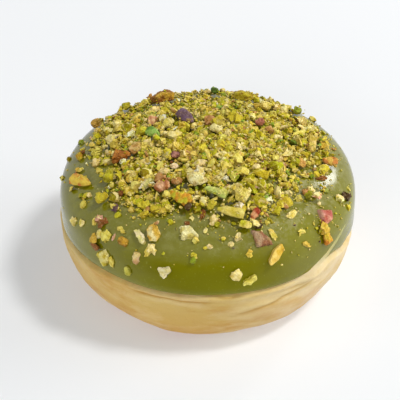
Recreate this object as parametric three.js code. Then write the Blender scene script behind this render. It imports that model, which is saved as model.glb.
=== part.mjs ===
// A filled doughnut with a poured green glaze and chopped pistachio on its crown.
// Millimetres, +Z up, the middle of the flat underside at the origin, the front towards -Y.
import * as THREE from 'three';
import { ConvexGeometry } from 'three/addons/geometries/ConvexGeometry.js';
import { mergeVertices } from 'three/addons/utils/BufferGeometryUtils.js';

// ---- Driving dimensions ----
const outerRadius = 46;
const crownHeight = 44.1;
const widestHeight = 26;
const baseRadius = 27.5;
const sideRoundness = 2.7;
const crownRoundness = 3.2;
const glazeThickness = 1.0;
const gap = 0.3;
const glazeEdgeArc = 57.3;
const tongueLength = 5;
const tongueBearing = (-8 * Math.PI) / 180;
const crumbHeight = 0.55;
const bedRings = 17;
const bearingSteps = 72;

// ---- The round outline shared by the dough, the glaze and everything lying on them ----
// A point of the outline is known by its arc: the distance walked down from the crown.
function makeOutline(samples) {
  const points = [];
  for (let i = 0; i <= samples; i += 1) {
    const t = (Math.PI / 2) * (1 - i / samples);
    const r = outerRadius * Math.cos(t) ** (2 / sideRoundness);
    const z = widestHeight + (crownHeight - widestHeight) * Math.sin(t) ** (2 / crownRoundness);
    points.push({ r: Math.max(r, 0), z });
  }
  for (let i = 1; i <= samples; i += 1) {
    const t = (Math.PI / 2) * (1 - i / samples);
    const r = baseRadius + (outerRadius - baseRadius) * Math.sin(t) ** (2 / sideRoundness);
    const z = widestHeight - widestHeight * Math.cos(t) ** (2 / sideRoundness);
    points.push({ r, z: Math.max(z, 0) });
  }
  points[0].arc = 0;
  for (let i = 1; i < points.length; i += 1) {
    const step = Math.hypot(points[i].r - points[i - 1].r, points[i].z - points[i - 1].z);
    points[i].arc = points[i - 1].arc + step;
  }
  return points;
}

const outline = makeOutline(400);
const sideLength = outline[outline.length - 1].arc;

function outlinePlace(arc) {
  let low = 0;
  let high = outline.length - 1;
  while (high - low > 1) {
    const middle = (low + high) >> 1;
    if (outline[middle].arc <= arc) low = middle;
    else high = middle;
  }
  const share = (arc - outline[low].arc) / (outline[high].arc - outline[low].arc);
  const r = outline[low].r + (outline[high].r - outline[low].r) * share;
  const z = outline[low].z + (outline[high].z - outline[low].z) * share;
  return { r, z };
}

// The outline at an arc, with the outward direction worked out across 1.5 mm of it.
function outlineAt(arc) {
  const here = outlinePlace(Math.min(Math.max(arc, 0), sideLength));
  const before = outlinePlace(Math.max(arc - 0.75, 0));
  const after = outlinePlace(Math.min(arc + 0.75, sideLength));
  let outR = before.z - after.z;
  let outZ = after.r - before.r;
  if (arc < 0.1) {
    outR = 0;
    outZ = 1;
  }
  const length = Math.hypot(outR, outZ);
  return { r: here.r, z: here.z, outR: outR / length, outZ: outZ / length };
}

// Hand-shaped dough is never quite round: three slow waves round the side, a fifth of a millimetre deep.
function outOfRound(bearing) {
  const slow = 0.18 * Math.sin(2 * bearing + 0.6);
  return slow + 0.14 * Math.sin(3 * bearing + 2.1) + 0.08 * Math.sin(5 * bearing);
}

// A point on the outline at a bearing, moved outwards by lift along the local outward direction.
function surfacePoint(bearing, arc, lift) {
  const at = outlineAt(arc);
  const spread = outOfRound(bearing) * Math.min(1, Math.max(0, arc / outerRadius)) ** 2;
  const fade = at.z < 8 ? at.z / 8 : 1;
  const radius = Math.max(0, at.r + at.outR * lift + spread * fade);
  const height = Math.max(0, at.z + at.outZ * lift);
  return new THREE.Vector3(radius * Math.cos(bearing), radius * Math.sin(bearing), height);
}

// The lip of the glaze wanders a little round the side and runs lower in one tongue at the right.
function tongueShare(bearing) {
  const turned = bearing - tongueBearing;
  const fromTongue = Math.atan2(Math.sin(turned), Math.cos(turned));
  return Math.exp(-((fromTongue / 0.22) ** 2));
}

function glazeEnd(bearing) {
  const wander = 0.35 * Math.sin(4 * bearing + 0.4) + 0.25 * Math.sin(7 * bearing + 1.9);
  return glazeEdgeArc + wander + tongueLength * tongueShare(bearing);
}

// ---- Making a closed body by turning a profile and then laying each ring on the outline ----
// The profile is a list of places; placeOf gives the point of one place at one bearing.
function turnedBody(places, placeOf) {
  const profile = places.map((place, i) => new THREE.Vector2(place.onAxis ? 0 : 1, i));
  const geometry = new THREE.LatheGeometry(profile, bearingSteps);
  const position = geometry.attributes.position;
  for (let step = 0; step <= bearingSteps; step += 1) {
    const bearing = ((step % bearingSteps) / bearingSteps) * 2 * Math.PI;
    for (let i = 0; i < places.length; i += 1) {
      const point = placeOf(places[i], places[i].onAxis ? 0 : bearing);
      if (places[i].onAxis) point.set(0, 0, point.z);
      position.setXYZ(step * places.length + i, point.x, point.y, point.z);
    }
  }
  return closedGeometry(geometry);
}

// Joins the seam and drops the empty triangles at the axis.
function closedGeometry(geometry) {
  geometry.deleteAttribute('normal');
  geometry.deleteAttribute('uv');
  const merged = mergeVertices(geometry, 1e-3);
  const index = merged.index.array;
  const kept = [];
  for (let i = 0; i < index.length; i += 3) {
    const [a, b, c] = [index[i], index[i + 1], index[i + 2]];
    if (a !== b && b !== c && a !== c) kept.push(a, b, c);
  }
  merged.setIndex(kept);
  merged.computeVertexNormals();
  return merged;
}

function namedMesh(name, geometry, color, roughness) {
  const material = new THREE.MeshStandardMaterial({ color, roughness, metalness: 0 });
  const mesh = new THREE.Mesh(geometry, material);
  mesh.name = name;
  return mesh;
}

// ---- The dough: one ball baked in one piece, with a flat underside ----
// Under the glaze it lies back by the glaze thickness; just below the lip it swells out to the full
// outline.
function makeDough() {
  const places = [];
  for (let i = 0; i <= 10; i += 1) places.push({ share: i / 10, onAxis: i === 0 });
  const below = [1.1, 2.2, 3.4];
  below.forEach((past) => places.push({ past }));
  for (let i = 1; i <= 9; i += 1) places.push({ down: i / 9 });
  places.push({ flat: 0.6 });
  places.push({ flat: 0, onAxis: true });
  return turnedBody(places.reverse(), (place, bearing) => {
    const end = glazeEnd(bearing);
    const under = glazeThickness + gap + 0.2 * tongueShare(bearing);
    if (place.share !== undefined) return surfacePoint(bearing, place.share * end, -under);
    if (place.past !== undefined) {
      const swell = Math.min(1, Math.max(0, (place.past - 1.1) / 2.3));
      return surfacePoint(bearing, end + place.past, -under + (under - 0.2) * swell);
    }
    if (place.down !== undefined) {
      const start = end + 3.4;
      return surfacePoint(bearing, start + (sideLength - start) * place.down, -0.2 * (1 - place.down));
    }
    const radius = baseRadius * place.flat;
    return new THREE.Vector3(radius * Math.cos(bearing), radius * Math.sin(bearing), 0);
  });
}

// ---- The glaze: a poured cap, one thin shell open below, with a rounded lip ----
function makeGlaze() {
  const places = [];
  for (let i = 0; i <= 10; i += 1) places.push({ share: i / 10, lift: 0, onAxis: i === 0 });
  places.push({ share: 1, past: 0.35, lift: 0.3 });
  places.push({ share: 1, past: 0.4, lift: 0.65 });
  for (let i = 12; i >= 0; i -= 1) places.push({ share: i / 12, lift: 1, onAxis: i === 0 });
  return turnedBody(places, (place, bearing) => {
    const arc = place.share * glazeEnd(bearing) + (place.past || 0);
    return surfacePoint(bearing, arc, -glazeThickness * (1 - place.lift));
  });
}

// ---- The crumb bed: the small crumbs packed over the crown, as one bumpy low heap ----
// The heap lies farther down at the back than at the front, and three bare bays cut into its edge.
const heapReach = 37;
const heapLean = 2.5;
const bayWidth = THREE.MathUtils.degToRad(16);
const bays = [
  { at: 190, depth: 5.5 },
  { at: 262, depth: 6.5 },
  { at: 328, depth: 6 },
];

function bayDepth(bearing) {
  return bays.reduce((sum, { at, depth }) => {
    const turned = bearing - THREE.MathUtils.degToRad(at);
    const away = Math.atan2(Math.sin(turned), Math.cos(turned));
    return sum + depth * Math.exp(-((away / bayWidth) ** 2));
  }, 0);
}

function bedEnd(bearing) {
  return heapReach + heapLean * Math.sin(bearing) - bayDepth(bearing);
}

function bedHeap(bearing, arc) {
  const share = Math.min(1, arc / bedEnd(bearing));
  const x = arc * Math.cos(bearing);
  const y = arc * Math.sin(bearing);
  const wave = 0.3 * Math.sin(0.43 * x + 0.31 * y) * Math.sin(0.47 * y - 0.22 * x + 1.3);
  return 1.25 - 0.7 * share ** 2 + wave * (1 - share ** 4);
}

// Single crumbs stand up out of the heap by up to crumbHeight.
function bedThickness(bearing, arc) {
  const share = Math.min(1, arc / bedEnd(bearing));
  const crumb = scatter(Math.round(bearing * 500), Math.round(arc * 10));
  const steady = Math.min(1, arc / 8) * (1 - 0.5 * share ** 6);
  return bedHeap(bearing, arc) + crumbHeight * crumb * steady;
}

function makeCrumbBed() {
  const places = [];
  for (let i = 0; i <= 6; i += 1) places.push({ share: i / 6, top: false, onAxis: i === 0 });
  for (let i = bedRings - 1; i >= 0; i -= 1) {
    places.push({ share: i / bedRings, top: true, onAxis: i === 0 });
  }
  places.splice(7, 0, { share: 1.012, rim: true });
  return turnedBody(places, (place, bearing) => {
    const arc = place.share * bedEnd(bearing);
    if (place.rim) return surfacePoint(bearing, arc, gap + 0.3);
    return surfacePoint(bearing, arc, gap + (place.top ? bedThickness(bearing, arc) : 0));
  });
}

// ---- The larger chopped nut pieces ----
const nutColours = {
  cream: 0xefe6c0,
  pale: 0xe0d68a,
  yellow: 0xd6c548,
  golden: 0xe6c862,
  olive: 0xaaa026,
  green: 0x84aa44,
  tan: 0xc78f46,
  brown: 0x86521c,
  purple: 0x5c4352,
  pink: 0xdc8878,
};

// A repeatable number from 0 to 1 for piece number n and item k.
function scatter(n, k) {
  const raw = Math.sin(n * 127.1 + k * 311.7 + 3.3) * 43758.5453;
  return raw - Math.floor(raw);
}

// A chunk: a lump broken all round, from places spread over a rounded block and pulled in unevenly.
function chunkShape(length, width, height, n) {
  const points = [];
  const corners = 15;
  for (let k = 0; k < corners; k += 1) {
    const z = 1 - (2 * k + 1) / corners;
    const turn = k * 2.399963 + scatter(n, k) * 0.7;
    const level = Math.sqrt(1 - z * z);
    const place = new THREE.Vector3(level * Math.cos(turn), level * Math.sin(turn), z);
    const farthest = Math.max(Math.abs(place.x), Math.abs(place.y), Math.abs(place.z));
    const pull = (0.72 + 0.24 * scatter(n, k + 30)) / farthest ** 0.55;
    place.multiplyScalar(pull).clampScalar(-1, 1);
    points.push(place.multiply(new THREE.Vector3(length / 2, width / 2, height / 2)));
  }
  return points;
}

// A plank: a flat piece split off a kernel, square at one end and sharp at the other.
function plankShape(length, width, height, n) {
  const points = [];
  [-1, 1].forEach((sz) => {
    const slant = 1 + 0.12 * sz;
    points.push(new THREE.Vector3((-length / 2) * slant, -width * 0.12, (sz * height) / 2));
    const bulge = 0.42 + 0.1 * scatter(n, 1);
    points.push(new THREE.Vector3(-length * 0.12, -width * bulge, (sz * height) / 2));
    points.push(new THREE.Vector3(length * 0.42, -width * 0.34, (sz * height) / 2));
    points.push(new THREE.Vector3((length / 2) * slant, width * 0.22, (sz * height) / 2));
    points.push(new THREE.Vector3(length * 0.1, width * (0.4 + 0.1 * scatter(n, 2)), (sz * height) / 2));
    points.push(new THREE.Vector3(-length * 0.36, width * 0.26, (sz * height) / 2));
  });
  return points;
}

// A flake: a thin three-cornered piece.
function flakeShape(length, width, height, n) {
  const points = [];
  [-1, 1].forEach((sz) => {
    const grow = 1 - 0.12 * sz;
    points.push(new THREE.Vector3((-length / 2) * grow, -width * 0.38, (sz * height) / 2));
    points.push(new THREE.Vector3((length / 2) * grow, -width * 0.2 * scatter(n, 3), (sz * height) / 2));
    points.push(new THREE.Vector3(-length * 0.05, (width / 2) * grow, (sz * height) / 2));
    points.push(new THREE.Vector3(length * 0.2, -width * 0.45, (sz * height * 0.8) / 2));
  });
  return points;
}

// A kernel end: half an egg, round at one end and broken flat at the other.
function kernelShape(length, width, height, n) {
  const points = [];
  for (let ring = 0; ring < 4; ring += 1) {
    const along = ring / 3;
    const swell = Math.sqrt(Math.max(0.05, 1 - (along * 0.96) ** 2.4));
    for (let k = 0; k < 6; k += 1) {
      const turn = (k / 6) * 2 * Math.PI + scatter(n, ring) * 0.5;
      const y = (Math.cos(turn) * width * swell) / 2;
      const z = (Math.sin(turn) * height * swell) / 2;
      points.push(new THREE.Vector3(length * (along - 0.5), y, z));
    }
  }
  return points;
}

// A sliver: long and thin, pointed at both ends.
function sliverShape(length, width, height, n) {
  const points = [
    new THREE.Vector3(-length / 2, (scatter(n, 1) - 0.5) * width * 0.4, 0),
    new THREE.Vector3(length / 2, (scatter(n, 2) - 0.5) * width * 0.4, height * 0.1),
  ];
  for (let k = 0; k < 4; k += 1) {
    const sy = k & 1 ? 1 : -1;
    const sz = k & 2 ? 1 : -1;
    const near = 0.2 + 0.15 * scatter(n, k + 3);
    const far = 0.2 + 0.15 * scatter(n, k + 9);
    points.push(new THREE.Vector3(-length * near, (sy * width) / 2, (sz * height) / 2));
    points.push(new THREE.Vector3(length * far, (sy * width) / 2.2, (sz * height) / 2));
  }
  return points;
}

const nutShapes = {
  chunk: chunkShape,
  kernel: kernelShape,
  sliver: sliverShape,
  plank: plankShape,
  flake: flakeShape,
};

// How high the top of the glaze or of the crumb bed stands under one piece.
function highestUnder(bearing, arc, reach) {
  let highest = 0;
  for (let k = 0; k < 12; k += 1) {
    const turn = (k / 12) * 2 * Math.PI;
    const away = k === 0 ? 0 : reach;
    const radius = Math.max(outlinePlace(arc).r, 6);
    const b = bearing + (away * Math.cos(turn)) / radius;
    const a = Math.max(0, arc + away * Math.sin(turn));
    if (a < bedEnd(b) * 1.03) {
      highest = Math.max(highest, gap + bedHeap(b, Math.min(a, bedEnd(b))) + crumbHeight);
    }
  }
  return highest;
}

// Lays one piece on the surface: bearing round the doughnut seen from above, arc down from the crown,
// heading turned from the direction of growing bearing towards the crown.
function makeNut(row, n) {
  const [name, shape, tint, bearingDeg, arc, length, width, height, headingDeg] = row;
  const bearing = THREE.MathUtils.degToRad(bearingDeg);
  const heading = THREE.MathUtils.degToRad(headingDeg);
  const at = outlineAt(arc);
  const up = new THREE.Vector3(at.outR * Math.cos(bearing), at.outR * Math.sin(bearing), at.outZ);
  up.normalize();
  const along = new THREE.Vector3(-Math.sin(bearing), Math.cos(bearing), 0);
  const toCrown = new THREE.Vector3().crossVectors(up, along).normalize();
  const xAxis = along.clone().multiplyScalar(Math.cos(heading)).addScaledVector(toCrown, Math.sin(heading));
  const yAxis = new THREE.Vector3().crossVectors(up, xAxis);
  const points = nutShapes[shape](length, width, height, n);
  const lowest = Math.min(...points.map((p) => p.z));
  const half = length / 2;
  const rest = gap + highestUnder(bearing, arc, half * 0.9);
  const middle = surfacePoint(bearing, arc, rest - lowest);
  const laid = points.map((p) =>
    middle.clone().addScaledVector(xAxis, p.x).addScaledVector(yAxis, p.y).addScaledVector(up, p.z),
  );
  return namedMesh(name, new ConvexGeometry(laid), nutColours[tint], 0.6);
}

// name, shape, colour, bearing, arc, length, width, height, heading
const nutPieces = [
  ['crown_purple_kernel', 'kernel', 'purple', 118, 14, 6.8, 4.6, 3.4, 94],
  ['crown_green_kernel', 'kernel', 'green', 165, 17, 4.6, 4.0, 2.8, 60],
  ['crown_cream_shard', 'sliver', 'cream', 145, 21, 5.5, 2.6, 2.0, 20],
  ['crown_pale_chunk', 'chunk', 'pale', 140, 16, 4.8, 4.2, 3.2, 30],
  ['crown_pink_chunk', 'chunk', 'pink', 215, 12, 3.4, 3.0, 2.4, 80],
  ['crown_cream_wedge', 'chunk', 'cream', 260, 12, 4.8, 4.0, 3.0, 10],
  ['crown_cream_block', 'chunk', 'cream', 68, 7, 5.4, 4.0, 2.8, 0],
  ['crown_big_cream_chunk', 'chunk', 'cream', 260, 19, 8.2, 5.8, 3.4, 165],
  ['crown_tan_end', 'chunk', 'tan', 245, 21, 3.8, 3.2, 2.6, 60],
  ['crown_white_chip', 'chunk', 'cream', 230, 16, 3.4, 2.8, 2.0, 40],
  ['crown_yellow_piece', 'kernel', 'yellow', 315, 22, 4.8, 3.4, 2.6, 120],
  ['crown_green_chunk', 'chunk', 'green', 295, 19, 4.0, 3.4, 2.6, 45],
  ['crown_pink_brown_chunk', 'chunk', 'tan', 36, 20, 4.2, 3.4, 2.6, 70],
  ['left_orange_skin', 'flake', 'tan', 190, 27, 6.2, 4.6, 2.4, 100],
  ['left_tan_strip', 'sliver', 'tan', 185, 22, 6.2, 2.8, 1.8, 165],
  ['left_pale_block', 'chunk', 'pale', 172, 30, 5.0, 4.0, 2.8, 20],
  ['left_olive_piece', 'kernel', 'olive', 205, 32, 4.8, 3.4, 2.8, 140],
  ['left_long_kernel', 'kernel', 'golden', 197, 40, 8.4, 4.2, 3.0, 32],
  ['left_olive_half', 'kernel', 'golden', 178, 40, 3.2, 3.0, 2.2, 20],
  ['left_olive_block', 'chunk', 'olive', 216, 38, 5.6, 3.2, 2.8, 99],
  ['left_pale_yellow_bit', 'chunk', 'yellow', 209, 43, 2.8, 3.4, 1.6, 20],
  ['left_yellow_bit', 'chunk', 'yellow', 214, 47, 3.0, 2.8, 1.6, 0],
  ['left_pale_bit', 'chunk', 'pale', 225, 46, 3.8, 3.0, 1.6, 150],
  ['back_brown_topped_strip', 'sliver', 'tan', 117, 32, 10, 3.2, 2.8, 8],
  ['back_tan_piece', 'sliver', 'tan', 153, 40, 4.6, 2.6, 2.0, 30],
  ['back_olive_piece', 'chunk', 'olive', 134, 38, 4.6, 3.4, 2.6, 60],
  ['back_olive_strip', 'sliver', 'olive', 68, 31, 8.0, 3.2, 2.6, 170],
  ['back_green_chip', 'chunk', 'green', 86, 34, 3.4, 3.0, 2.4, 40],
  ['back_yellow_green_chip', 'chunk', 'yellow', 40, 38, 4.8, 3.4, 2.4, 100],
  ['back_cream_wedge', 'chunk', 'cream', 50, 29, 5.2, 4.4, 3.0, 50],
  ['right_pale_strip', 'sliver', 'pale', 5, 32, 10, 2.3, 1.8, 168],
  ['right_yellow_piece', 'kernel', 'yellow', 353, 37, 4.8, 3.4, 2.6, 110],
  ['right_orange_piece', 'chunk', 'tan', 344, 29, 4.2, 3.6, 2.6, 60],
  ['right_green_chip', 'chunk', 'green', 336, 39, 3.4, 2.2, 1.4, 30],
  ['right_olive_pair', 'chunk', 'olive', 326, 37, 5.0, 3.6, 2.6, 130],
  ['right_red_triangle', 'flake', 'pink', 324, 44, 6.4, 5.2, 1.8, 5],
  ['right_yellow_orange_piece', 'kernel', 'yellow', 320, 49, 4.4, 3.4, 2.2, 95],
  ['front_pale_lump', 'chunk', 'pale', 292, 27, 7.2, 5.2, 3.4, 160],
  ['front_yellow_plank', 'kernel', 'pale', 282, 32, 8.0, 3.8, 2.8, 155],
  ['front_green_long_piece', 'kernel', 'green', 276, 24, 6.4, 3.2, 2.6, 150],
  ['front_yellow_green_piece', 'chunk', 'yellow', 272, 29, 3.8, 3.4, 2.6, 80],
  ['front_red_skin', 'sliver', 'brown', 294, 34, 5.0, 1.9, 1.6, 33],
  ['front_yellow_chip', 'chunk', 'yellow', 287, 37, 4.4, 3.2, 2.0, 150],
  ['front_glazed_shard', 'flake', 'brown', 292, 42, 6.8, 4.8, 1.4, 120],
  ['front_golden_plank', 'plank', 'golden', 296, 47, 6.8, 3.2, 1.6, 40],
  ['front_yellow_side_block', 'plank', 'pale', 285, 53, 4.4, 2.4, 1.6, 25],
  ['front_salmon_chunk', 'chunk', 'pink', 238, 25, 5.8, 4.4, 2.8, 80],
  ['front_orange_ended_piece', 'kernel', 'yellow', 253, 27, 7.0, 4.4, 3.0, 160],
  ['front_white_cluster', 'chunk', 'cream', 227, 26, 6.4, 3.0, 2.6, 90],
  ['front_golden_cluster', 'chunk', 'golden', 247, 40, 7.2, 4.8, 2.4, 120],
  ['front_big_cream_chip', 'flake', 'cream', 261, 38, 6.2, 4.2, 1.8, 140],
  ['front_cream_rod', 'plank', 'cream', 242, 42, 4.8, 2.0, 1.6, 145],
  ['front_golden_brown_bit', 'chunk', 'tan', 236, 45, 4.6, 3.0, 1.8, 170],
  ['front_pink_cream_bit', 'chunk', 'pink', 243, 48, 5.0, 3.2, 1.8, 100],
  ['front_side_pale_piece', 'flake', 'pale', 229, 52, 5.0, 4.6, 1.8, 80],
  ['front_side_green_bit', 'chunk', 'yellow', 240, 53, 3.4, 3.2, 1.6, 30],
  ['front_side_white_bit', 'flake', 'cream', 254, 50, 4.0, 3.8, 1.6, 60],
];

// ---- Putting it together ----
const group = new THREE.Group();
group.name = 'filled_doughnut';
group.add(namedMesh('dough', makeDough(), 0xd9b46a, 0.75));
group.add(namedMesh('glaze', makeGlaze(), 0x86903a, 0.2));
group.add(namedMesh('crumb_bed', makeCrumbBed(), 0xb4b04c, 0.75));
nutPieces.forEach((row, n) => group.add(makeNut(row, n)));

export default group;
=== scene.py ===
import math
import random

import bmesh
import bpy
import numpy as np
from mathutils import Matrix, Vector, noise


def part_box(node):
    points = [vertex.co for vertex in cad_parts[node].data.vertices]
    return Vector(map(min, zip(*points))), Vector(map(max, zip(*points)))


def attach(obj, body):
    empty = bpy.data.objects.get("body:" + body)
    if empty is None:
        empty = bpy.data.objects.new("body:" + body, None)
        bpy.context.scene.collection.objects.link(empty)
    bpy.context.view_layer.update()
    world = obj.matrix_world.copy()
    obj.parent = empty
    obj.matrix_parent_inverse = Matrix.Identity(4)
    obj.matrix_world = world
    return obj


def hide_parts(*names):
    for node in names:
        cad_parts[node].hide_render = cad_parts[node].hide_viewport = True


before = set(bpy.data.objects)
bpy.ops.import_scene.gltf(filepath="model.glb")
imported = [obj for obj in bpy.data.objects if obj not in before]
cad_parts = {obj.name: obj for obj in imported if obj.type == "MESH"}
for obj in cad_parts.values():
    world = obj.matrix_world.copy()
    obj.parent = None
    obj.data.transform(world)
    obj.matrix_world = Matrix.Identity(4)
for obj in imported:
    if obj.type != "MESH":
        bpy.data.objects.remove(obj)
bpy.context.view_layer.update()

# ---------------------------------------------------------------------------
# The doughnut: a ball of yeast dough, proved and cooked in one piece. Its side
# stays pale under the glaze, its underside browns, and the soft crust folds
# into a few long creases just below the glaze.
# ---------------------------------------------------------------------------
MM = 0.001
CROWN_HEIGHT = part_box("glaze")[1].z / MM
WIDEST_RADIUS = 46.0
WIDEST_HEIGHT = 26.0
BASE_RADIUS = 27.5
SIDE_ROUNDNESS = 2.7
CROWN_ROUNDNESS = 3.2
GLAZE_THICKNESS = 1.0
GLAZE_GAP = 0.3
GLAZE_EDGE = 57.3
# Where the glaze ran lower: bearing in degrees, length in millimetres, half width in degrees.
RUNS = ((352, 5.0, 12.6), (333, 1.9, 6.0), (190, 2.2, 12.0))

# The outline is stepped from the crown to the widest level, and from there to the base.
OUTLINE_STEPS = 400
ABOVE_WIDEST = slice(0, OUTLINE_STEPS + 1)
upper = np.linspace(math.pi / 2, 0, OUTLINE_STEPS + 1)
outline_r = np.concatenate((
    WIDEST_RADIUS * np.cos(upper) ** (2 / SIDE_ROUNDNESS),
    BASE_RADIUS + (WIDEST_RADIUS - BASE_RADIUS) * np.sin(upper[1:]) ** (2 / SIDE_ROUNDNESS)))
outline_z = np.concatenate((
    WIDEST_HEIGHT + (CROWN_HEIGHT - WIDEST_HEIGHT) * np.sin(upper) ** (2 / CROWN_ROUNDNESS),
    WIDEST_HEIGHT - WIDEST_HEIGHT * np.cos(upper[1:]) ** (2 / SIDE_ROUNDNESS)))
outline_arc = np.concatenate(([0], np.cumsum(np.hypot(np.diff(outline_r), np.diff(outline_z)))))
SIDE_LENGTH = outline_arc[-1]


def outline_at(arc):
    """Radius, height and outward direction of the round outline, an arc down from the crown."""
    arc = np.clip(arc, 0, SIDE_LENGTH)
    before, after = np.clip(arc - 0.75, 0, None), np.clip(arc + 0.75, None, SIDE_LENGTH)
    out_r = np.interp(before, outline_arc, outline_z) - np.interp(after, outline_arc, outline_z)
    out_z = np.interp(after, outline_arc, outline_r) - np.interp(before, outline_arc, outline_r)
    out_r = np.where(arc < 0.1, 0, out_r)
    size = np.hypot(out_r, out_z)
    return (np.interp(arc, outline_arc, outline_r), np.interp(arc, outline_arc, outline_z),
            out_r / size, out_z / size)


def on_round(bearing, arc, lift):
    """Points on the doughnut's outline at a bearing and an arc, lifted outwards, in millimetres."""
    r, z, out_r, out_z = outline_at(arc)
    waves = (0.18 * np.sin(2 * bearing + 0.6) + 0.14 * np.sin(3 * bearing + 2.1)
             + 0.08 * np.sin(5 * bearing))
    waves = waves * np.clip(arc / WIDEST_RADIUS, 0, 1) ** 2 * np.clip(z / 8, 0, 1)
    radius = np.clip(r + out_r * lift + waves, 0, None)
    height = np.clip(z + out_z * lift, 0, None)
    return np.stack((radius * np.cos(bearing), radius * np.sin(bearing), height), -1)


def angle_between(bearing, middle):
    return (bearing - middle + math.pi) % (2 * math.pi) - math.pi


def bump_at(bearing, degrees, half_width):
    return np.exp(-(angle_between(bearing, math.radians(degrees)) / math.radians(half_width)) ** 2)


def glaze_end(bearing):
    """Arc at which the glaze ends: nearly level, lower where it ran."""
    wander = 0.35 * np.sin(4 * bearing + 0.4) + 0.25 * np.sin(7 * bearing + 1.9)
    return GLAZE_EDGE + wander + sum(length * bump_at(bearing, at, width) for at, length, width in RUNS)


def along_path(bearing, arc, path):
    """Distance in millimetres from a path, and how far inside its ends, from 0 to 1."""
    first, last, first_arc, last_arc, sag = path
    turned = np.degrees(bearing) % 360
    share = np.clip((turned - first) / (last - first), 0, 1)
    middle = first_arc + (last_arc - first_arc) * share + sag * np.sin(math.pi * share)
    inside = np.minimum(turned - first, last - turned)
    return arc - middle, np.clip(inside / 7, 0, 1)


# Creases of the crust: first and last bearing in degrees, the arc at each in millimetres, how far
# the middle sags below them, and the depth.
CREASES = (
    ((238, 274, 59.5, 60.5, 0.3), 0.55),
    ((268, 287, 58, 59, 0.3), 0.35),
    ((276, 316, 67, 61, 0.3), 0.4),
    ((296, 322, 61.5, 60, 0), 0.25),
    ((20, 140, 60, 61, 0.6), 0.45),
    ((165, 214, 61, 62, 0.5), 0.4),
)
# The crest of dough that stands through the glaze at the right: a path like a crease's, its height
# above the dough under the glaze, and its half width at the far end and at the near end.
CREST = (305, 360, 60, 45, 0)
CREST_HEIGHT = 1.65
CREST_FAR_WIDTH = 1.5
CREST_NEAR_WIDTH = 3.3


def spun_profile(rings, layers_down, steps):
    """Spins a profile of (distance from the axis, layer) places once round, closed at the axis."""
    bm = bmesh.new()
    places = [bm.verts.new((distance, 0, layer)) for distance, layer in rings + layers_down]
    edges = [bm.edges.new(pair) for pair in zip(places, places[1:])]
    bmesh.ops.spin(bm, geom=places + edges, cent=(0, 0, 0), axis=(0, 0, 1), angle=2 * math.pi,
                   steps=steps, use_merge=True)
    bmesh.ops.remove_doubles(bm, verts=bm.verts, dist=1e-5)
    return bm


def laid_out(bm, place):
    """Moves every vertex from (bearing, distance, layer) to its place on the doughnut."""
    flat = np.array([v.co[:] for v in bm.verts])
    bearing = np.arctan2(flat[:, 1], flat[:, 0])
    points = place(bearing, np.hypot(flat[:, 0], flat[:, 1]), flat[:, 2]) * MM
    for vertex, point in zip(bm.verts, points):
        vertex.co = point
    bmesh.ops.recalc_face_normals(bm, faces=bm.faces)


def finished(name, bm, material=None, smooth=True):
    """Turns a bmesh into an object at the origin that rides on the doughnut."""
    mesh = bpy.data.meshes.new(name)
    bm.to_mesh(mesh)
    bm.free()
    for face in mesh.polygons:
        face.use_smooth = smooth
    piece = bpy.data.objects.new(name, mesh)
    bpy.context.scene.collection.objects.link(piece)
    if material:
        mesh.materials.append(material)
    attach(piece, "root")
    return piece


def crease_depth(bearing, arc):
    """How deep the crust is folded in, from 0 to about 1, and how high it swells beside a fold."""
    fold = np.zeros_like(arc)
    swell = np.zeros_like(arc)
    wobble = 0.5 * np.sin(bearing * 23) + 0.3 * np.sin(bearing * 41 + 1)
    for path, depth in CREASES:
        away, fade = along_path(bearing, arc + 0.3 * wobble, path)
        fold += depth * fade * np.exp(-(away / 0.42) ** 2)
        above = np.exp(-((away + 1.5) / 0.9) ** 2)
        beneath = 0.7 * np.exp(-((away - 1.4) / 0.9) ** 2)
        swell += depth * fade * (above + beneath)
    return fold, swell


def crest_share(bearing, arc):
    """The crest is broad where it leaves the dough, and narrows and sinks into the glaze."""
    away, fade = along_path(bearing, arc, CREST)
    left = np.clip((CREST[1] - np.degrees(bearing) % 360) / (CREST[1] - CREST[0]), 0, 1)
    half_width = CREST_FAR_WIDTH + (CREST_NEAR_WIDTH - CREST_FAR_WIDTH) * left ** 2
    return np.exp(-(away / half_width) ** 2) * fade * left ** 0.12


def dough_lift(bearing, arc):
    """How far the dough stands out from the outline, or, under the glaze, lies back from it."""
    end = glaze_end(bearing)
    under = GLAZE_THICKNESS + GLAZE_GAP
    below = np.clip((arc - end - 0.2) / 1.9, 0, 1)
    below = below * below * (3 - 2 * below)
    fold, swell = crease_depth(bearing, arc)
    skin = below * (0.40 * swell - 0.55 * fold)
    slow = below * 0.22 * (np.sin(3.1 * bearing + arc * 0.16) + np.sin(7.3 * bearing - arc * 0.23 + 1))
    lip = 0.3 * np.exp(-((arc - end - 2.1) / 1.1) ** 2)
    slow = slow * np.clip((SIDE_LENGTH - arc) / 12, 0, 1)
    return -under * (1 - below) + skin + slow + lip + CREST_HEIGHT * crest_share(bearing, arc)


def dough_place(bearing, distance, layer):
    """The side follows the outline and never dips under the table; the base is flat."""
    base = layer < -0.5
    points = on_round(bearing, distance, np.where(base, 0, dough_lift(bearing, distance)))
    points[:, 2] = np.maximum(points[:, 2], 0)
    radius = BASE_RADIUS * distance / SIDE_LENGTH
    flat = np.stack((radius * np.cos(bearing), radius * np.sin(bearing), 0 * radius), -1)
    return np.where(base[:, None], flat, points)


down_the_side = [(0.0, 0.0)] + [(a, 0.0) for a in np.arange(2.5, 52, 2.5)]
down_the_side += [(a, 0.0) for a in np.arange(52.2, 66, 0.3)]
down_the_side += [(a, 0.0) for a in np.linspace(66, SIDE_LENGTH, 34)]
across_the_base = [(SIDE_LENGTH * share, -1.0) for share in (0.93, 0.8, 0.6, 0.3, 0.0)]
dough_bm = spun_profile(down_the_side, across_the_base, 320)
laid_out(dough_bm, dough_place)

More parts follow.
